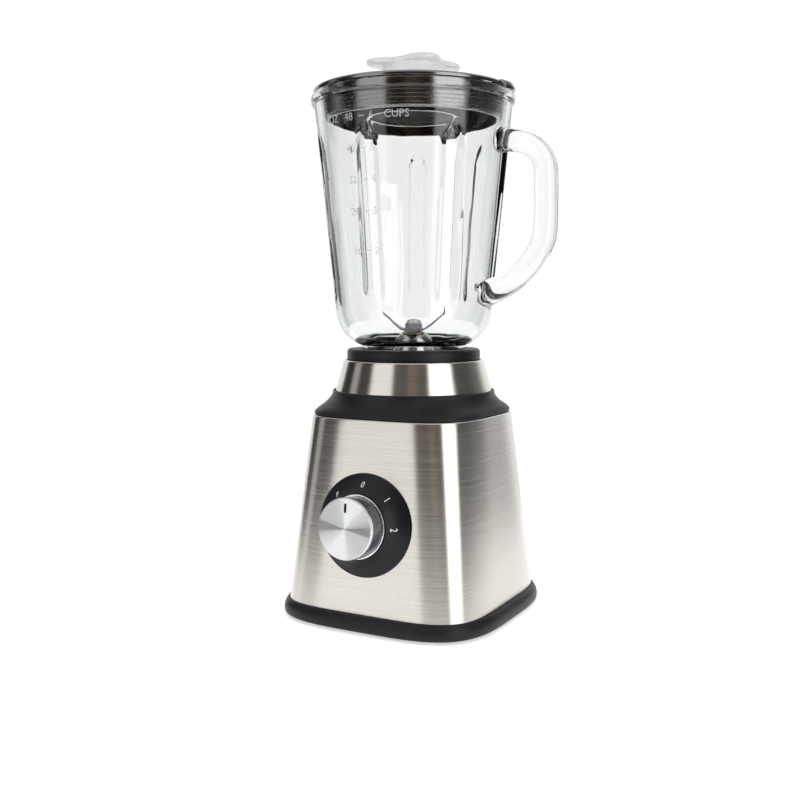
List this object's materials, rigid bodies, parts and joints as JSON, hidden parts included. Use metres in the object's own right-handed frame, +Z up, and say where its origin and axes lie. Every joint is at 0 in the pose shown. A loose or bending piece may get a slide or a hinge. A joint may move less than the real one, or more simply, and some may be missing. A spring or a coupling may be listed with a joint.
{
  "type": "countertop blender",
  "caption": "Countertop blender: tapered brushed steel base on a black foot, front speed dial, fluted glass jug with a fused handle, blade set, black lid and clear measuring cap.",
  "frame": {"origin": "centre of the whole blender's footprint box, on the surface it stands on; the jug's axis is at x = -0.01293, y = 0.00817", "axes": "+Z up along the jug's axis, the dial faces -Y, the handle points along +X and the pouring lip along -X"},
  "size_m": [0.1926, 0.1832, 0.3975],
  "materials": {
    "black_plastic": "satin moulded",
    "black_rubber": "matt",
    "shell_steel": "brushed level",
    "ring_steel": "brushed round",
    "fastener_steel": "plated",
    "blade_steel": "ground",
    "knob_aluminium": "turned and anodised",
    "knob_chrome": "polished",
    "jug_glass": "pressed clear",
    "clear_plastic": "clear moulded",
    "motor_iron": "stacked laminations",
    "bracket_aluminium": "die cast",
    "winding_copper": "enamelled wire",
    "bearing_bronze": "machined",
    "carbon": "pressed carbon",
    "ivory_plastic": "moulded",
    "white_mark": "printed"
  },
  "bodies": {
    "base": {"foot_band": "black_plastic", "bottom_cover": "black_plastic", "shoulder": "black_plastic", "jug_seat": "black_plastic", "dial_plate": "black_plastic", "rubber_foot_1": "black_rubber", "rubber_foot_2": "black_rubber", "rubber_foot_3": "black_rubber", "rubber_foot_4": "black_rubber", "cord_gland": "black_rubber", "motor_mount_1": "black_rubber", "motor_mount_2": "black_rubber", "motor_mount_3": "black_rubber", "motor_mount_4": "black_rubber", "steel_shell": "shell_steel", "trim_ring": "ring_steel", "cover_screw_1": "fastener_steel", "cover_screw_2": "fastener_steel", "cover_screw_3": "fastener_steel", "cover_screw_4": "fastener_steel", "motor_bolt_1": "fastener_steel", "motor_bolt_2": "fastener_steel", "upper_bearing": "fastener_steel", "lower_bearing": "fastener_steel", "stator_core": "motor_iron", "motor_top_bracket": "bracket_aluminium", "motor_bottom_bracket": "bracket_aluminium", "field_coil_right": "winding_copper", "field_coil_left": "winding_copper", "brush_holder_rear": "bearing_bronze", "brush_holder_front": "bearing_bronze", "carbon_brush_rear": "carbon", "carbon_brush_front": "carbon", "rotary_switch": "ivory_plastic"},
    "rotor": {"motor_shaft": "fastener_steel", "armature_core": "motor_iron", "armature_winding_top": "winding_copper", "armature_winding_bottom": "winding_copper", "commutator": "winding_copper", "cooling_fan": "ivory_plastic", "drive_coupling": "black_plastic"},
    "knob": {"switch_spindle": "fastener_steel", "speed_knob": "black_plastic", "knob_base_ring": "knob_chrome", "knob_face": "knob_aluminium", "knob_pointer": "white_mark"},
    "jug": {"glass_jug": "jug_glass", "jug_handle": "jug_glass", "jug_collar": "black_plastic", "jug_gasket": "black_rubber", "blade_housing": "black_plastic", "blade_bushing": "bearing_bronze"},
    "blades": {"blade_shaft": "fastener_steel", "driven_coupling": "black_plastic", "lower_blades": "blade_steel", "upper_blades": "blade_steel", "blade_nut": "fastener_steel"},
    "lid": {"lid": "black_plastic", "lid_seal": "black_rubber"},
    "cap": {"measuring_cap": "clear_plastic"}
  },
  "joints": [
    {"name": "knob_turn", "type": "hinge", "parent": "base", "child": "knob", "pos_m": [-0.01293, -0.06336, 0.0747], "axis": [0, 0.9955, -0.0949], "range_deg": [-45, 90]},
    {"name": "motor_spin", "type": "hinge", "parent": "base", "child": "rotor", "pos_m": [-0.01293, 0.00817, 0.104], "axis": [0, 0, 1], "continuous": true},
    {"name": "jug_lift", "type": "slide", "parent": "base", "child": "jug", "axis": [0, 0, 1], "range_m": [0, 0.06]},
    {"name": "blade_spin", "type": "hinge", "parent": "jug", "child": "blades", "pos_m": [-0.01293, 0.00817, 0.19], "axis": [0, 0, 1], "continuous": true},
    {"name": "lid_lift", "type": "slide", "parent": "jug", "child": "lid", "axis": [0, 0, 1], "range_m": [0, 0.05]},
    {"name": "cap_lift", "type": "slide", "parent": "lid", "child": "cap", "axis": [0, 0, 1], "range_m": [0, 0.035]}
  ],
  "couplings": [
    {"joint": "blade_spin", "follows": "motor_spin", "ratio": 1}
  ]
}
